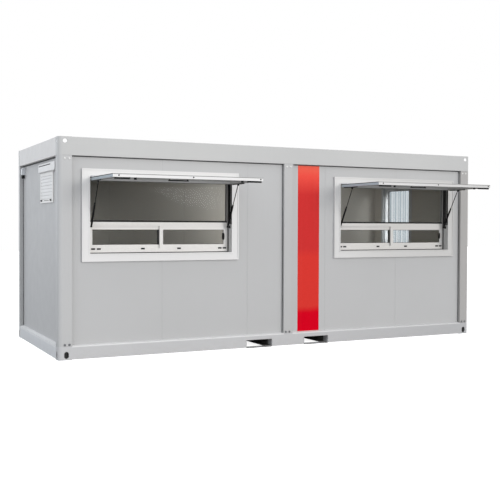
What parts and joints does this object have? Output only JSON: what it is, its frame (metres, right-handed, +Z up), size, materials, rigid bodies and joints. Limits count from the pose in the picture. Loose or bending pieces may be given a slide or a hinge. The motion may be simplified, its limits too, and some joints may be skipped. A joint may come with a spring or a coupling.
{
  "type": "ticket booth",
  "caption": "Movable ticket booth: panelled cabin in a steel frame with serving windows under lift-up flaps on gas struts, an end door and fork pockets.",
  "frame": {"origin": "ground level at the centre of the cabin's footprint", "axes": "+X along the length, -Y out of the serving side, +Z up"},
  "size_m": [6, 3.334, 2.6],
  "materials": {
    "frame_paint": "satin light grey paint on folded steel",
    "wall_panel": "satin light grey coil-coated sheet",
    "roof_sheet": "zinc-grey coated sheet",
    "ceiling_board": "pale laminate",
    "floor_board": "sealed plywood",
    "underframe_steel": "dark grey primer",
    "red_film": "glossy adhesive film",
    "casing_white": "white powder coat",
    "flap_sheet": "brushed light metal",
    "window_plastic": "white extruded plastic",
    "glass": "clear float glass",
    "bright_steel": "satin steel",
    "black_fittings": "black powder coat",
    "strut_rod": "polished rod",
    "strut_tube": "black paint",
    "door_metal": "white coated profile",
    "inlet_plastic": "moulded plastic"
  },
  "bodies": {
    "cabin": {"front_bottom_rail": "frame_paint", "rear_bottom_rail": "frame_paint", "end_bottom_rails": "frame_paint", "bottom_corner_blocks": "frame_paint", "front_corner_posts": "frame_paint", "rear_corner_posts": "frame_paint", "middle_posts": "frame_paint", "front_top_rail": "frame_paint", "rear_top_rail": "frame_paint", "end_top_rails": "frame_paint", "top_corner_blocks": "frame_paint", "fork_tunnels": "underframe_steel", "floor_joists": "underframe_steel", "floor_deck": "floor_board", "ceiling_panel": "ceiling_board", "roof_deck": "roof_sheet", "rear_wall": "wall_panel", "left_end_wall": "wall_panel", "right_end_wall": "wall_panel", "red_stripe": "red_film", "end_window_frame": "window_plastic", "end_window_glass": "glass", "door_frame": "door_metal", "power_inlet": "inlet_plastic", "inlet_socket": "black_fittings", "end_shutter_box": "casing_white", "end_shutter_curtain": "casing_white", "front_left_wall": "wall_panel", "left_window_casing": "casing_white", "left_window_frame": "window_plastic", "left_window_sashes": "window_plastic", "left_window_glass": "glass", "left_flap_hinge": "bright_steel", "left_strut_feet": "black_fittings", "front_right_wall": "wall_panel", "right_window_casing": "casing_white", "right_window_frame": "window_plastic", "right_window_sashes": "window_plastic", "right_window_glass": "glass", "right_flap_hinge": "bright_steel", "right_strut_feet": "black_fittings"},
    "left_flap": {"left_flap_frame": "casing_white", "left_flap_skin": "flap_sheet", "left_flap_fittings": "black_fittings"},
    "left_rods": {"left_strut_rods": "strut_rod"},
    "left_tubes": {"left_strut_tubes": "strut_tube"},
    "right_flap": {"right_flap_frame": "casing_white", "right_flap_skin": "flap_sheet", "right_flap_fittings": "black_fittings"},
    "right_rods": {"right_strut_rods": "strut_rod"},
    "right_tubes": {"right_strut_tubes": "strut_tube"},
    "door": {"door_leaf": "door_metal", "door_glass": "glass", "door_handles": "bright_steel"}
  },
  "joints": [
    {"name": "left_flap_hinge", "type": "hinge", "parent": "cabin", "child": "left_flap", "pos_m": [-1.715, -1.212, 2.146], "axis": [1, 0, 0], "range_deg": [0, 90]},
    {"name": "left_strut_swing", "type": "hinge", "parent": "left_flap", "child": "left_rods", "pos_m": [-1.715, -1.452, 2.08], "axis": [1, 0, 0], "range_deg": [-124, 0]},
    {"name": "left_strut_stroke", "type": "slide", "parent": "left_rods", "child": "left_tubes", "axis": [0, -0.5123, 0.8588], "range_m": [0, 0.27]},
    {"name": "right_flap_hinge", "type": "hinge", "parent": "cabin", "child": "right_flap", "pos_m": [1.715, -1.212, 2.146], "axis": [1, 0, 0], "range_deg": [0, 90]},
    {"name": "right_strut_swing", "type": "hinge", "parent": "right_flap", "child": "right_rods", "pos_m": [1.715, -1.452, 2.08], "axis": [1, 0, 0], "range_deg": [-124, 0]},
    {"name": "right_strut_stroke", "type": "slide", "parent": "right_rods", "child": "right_tubes", "axis": [0, -0.5123, 0.8588], "range_m": [0, 0.27]},
    {"name": "door_hinge", "type": "hinge", "parent": "cabin", "child": "door", "pos_m": [2.963, 0.847, 1.1], "axis": [0, 0, 1], "range_deg": [0, 100]}
  ],
  "couplings": [
    {"joint": "left_strut_swing", "follows": "left_flap_hinge", "ratio": -1.3315},
    {"joint": "left_strut_stroke", "follows": "left_flap_hinge", "m_per_rad": 0.16548},
    {"joint": "right_strut_swing", "follows": "right_flap_hinge", "ratio": -1.3315},
    {"joint": "right_strut_stroke", "follows": "right_flap_hinge", "m_per_rad": 0.16548}
  ]
}
